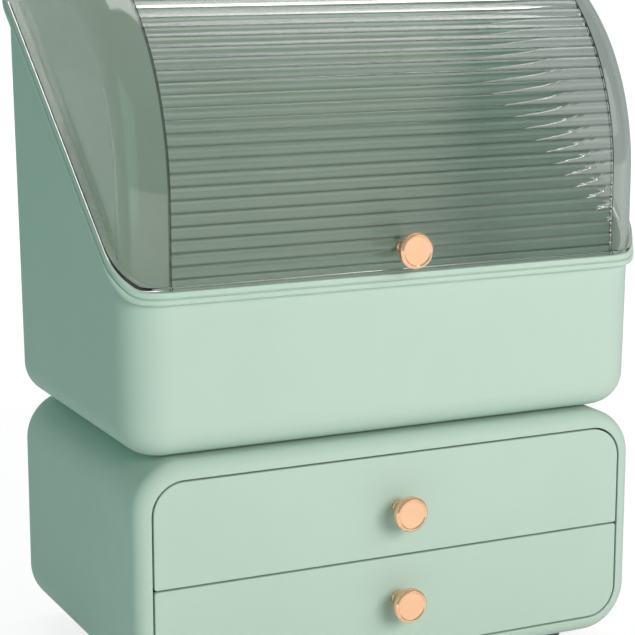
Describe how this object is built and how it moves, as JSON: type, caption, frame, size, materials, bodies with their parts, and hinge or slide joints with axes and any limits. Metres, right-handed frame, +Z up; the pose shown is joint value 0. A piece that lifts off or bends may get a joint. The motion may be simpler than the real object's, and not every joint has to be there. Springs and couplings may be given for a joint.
{
  "type": "vanity organizer box",
  "caption": "Stacked vanity organizer: sloping-sided cosmetics case with a hinged clear fluted curved lid, on a rounded cabinet with full-width knobbed drawers.",
  "frame": {"origin": "middle of the overall box on the surface it stands on, under the feet", "axes": "+Z up, the drawers and the lid's curved front face -Y, +X to the right seen from the front"},
  "size_m": [0.2828, 0.2024, 0.3534],
  "materials": {
    "mint_plastic": "satin moulded plastic, sage mint",
    "pale_plastic": "satin moulded plastic, pale mint",
    "clear_plastic": "clear polished plastic",
    "rose_gold": "polished rose gold plating",
    "steel": "bright zinc plating",
    "foot_rubber": "matt dark olive rubber",
    "pad_silicone": "matt translucent silicone"
  },
  "bodies": {
    "cabinet": {"cabinet_shell": "mint_plastic", "cabinet_front_frame": "mint_plastic", "middle_shelf": "mint_plastic", "lower_runner_left": "pale_plastic", "lower_runner_right": "pale_plastic", "upper_runner_left": "pale_plastic", "upper_runner_right": "pale_plastic", "foot_front_left": "foot_rubber", "foot_front_right": "foot_rubber", "foot_back_left": "foot_rubber", "foot_back_right": "foot_rubber"},
    "lower_drawer": {"lower_drawer_tray": "pale_plastic", "lower_drawer_front": "mint_plastic", "lower_drawer_knob": "rose_gold", "lower_drawer_knob_screw": "steel"},
    "upper_drawer": {"upper_drawer_tray": "pale_plastic", "upper_drawer_front": "mint_plastic", "upper_drawer_knob": "rose_gold", "upper_drawer_knob_screw": "steel"},
    "case": {"cosmetics_case": "mint_plastic", "case_pads": "pad_silicone", "hinge_pin_left": "steel", "hinge_pin_right": "steel"},
    "lid": {"lid_shell": "clear_plastic", "lid_knob": "rose_gold", "lid_knob_screw": "steel"}
  },
  "joints": [
    {"name": "lid_hinge", "type": "hinge", "parent": "case", "child": "lid", "pos_m": [0, 0.09721, 0.3402], "axis": [-1, 0, 0], "range_deg": [0, 110]},
    {"name": "upper_drawer_slide", "type": "slide", "parent": "cabinet", "child": "upper_drawer", "axis": [0, -1, 0], "range_m": [0, 0.13]},
    {"name": "lower_drawer_slide", "type": "slide", "parent": "cabinet", "child": "lower_drawer", "axis": [0, -1, 0], "range_m": [0, 0.13]},
    {"name": "case_lift", "type": "slide", "parent": "cabinet", "child": "case", "axis": [0, 0, 1], "range_m": [0, 0.06]}
  ]
}
